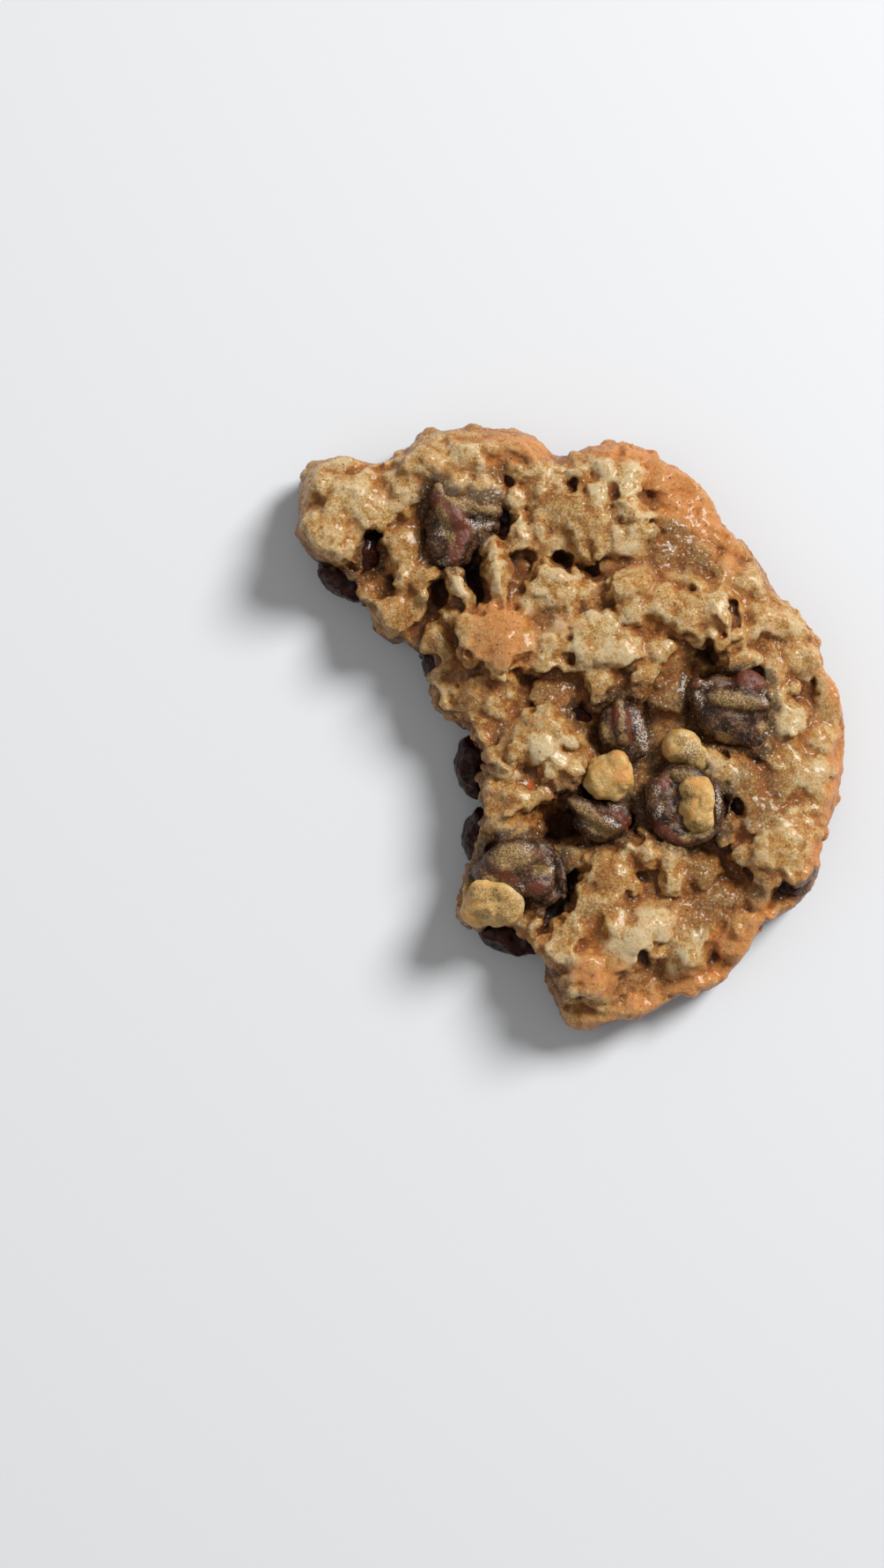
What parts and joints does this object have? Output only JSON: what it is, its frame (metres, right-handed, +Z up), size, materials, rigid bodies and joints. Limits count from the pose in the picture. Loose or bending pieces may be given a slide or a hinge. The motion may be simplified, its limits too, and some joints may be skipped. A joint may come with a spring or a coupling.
{
  "type": "oatmeal chocolate chip cookie",
  "caption": "Broken oatmeal chocolate chip cookie, a crescent with one baked edge and one broken edge, lying flat.",
  "frame": {"origin": "middle of the bounding box in plan, at the flat underside", "axes": "+Z up out of the flat underside, +Y along the longest side of the crescent, +X towards its round baked edge"},
  "size_m": [0.082, 0.0896, 0.0156],
  "materials": {
    "dough": "golden brown baked oat dough, matt with a faint buttery sheen",
    "chocolate": "dark brown chocolate, softened and satin with a thin film of dough",
    "nut": "pale golden toasted nut, satin"
  },
  "bodies": {
    "root": {"baked_dough": "dough", "nut_west": "nut", "nut_middle": "nut", "nut_east": "nut", "nut_ring": "nut", "chocolate_chip_west": "chocolate", "chocolate_chip_east": "chocolate", "chocolate_chip_centre": "chocolate", "chocolate_chip_ring": "chocolate", "chocolate_chip_break": "chocolate", "chocolate_chip_hollow": "chocolate", "melted_chip_tip": "chocolate", "melted_chip_north": "chocolate", "melted_chip_middle": "chocolate", "melted_chip_rim": "chocolate", "melted_break_tip": "chocolate", "melted_break_upper": "chocolate", "melted_break_middle": "chocolate", "melted_break_lower": "chocolate", "melted_break_south": "chocolate"}
  },
  "joints": []
}
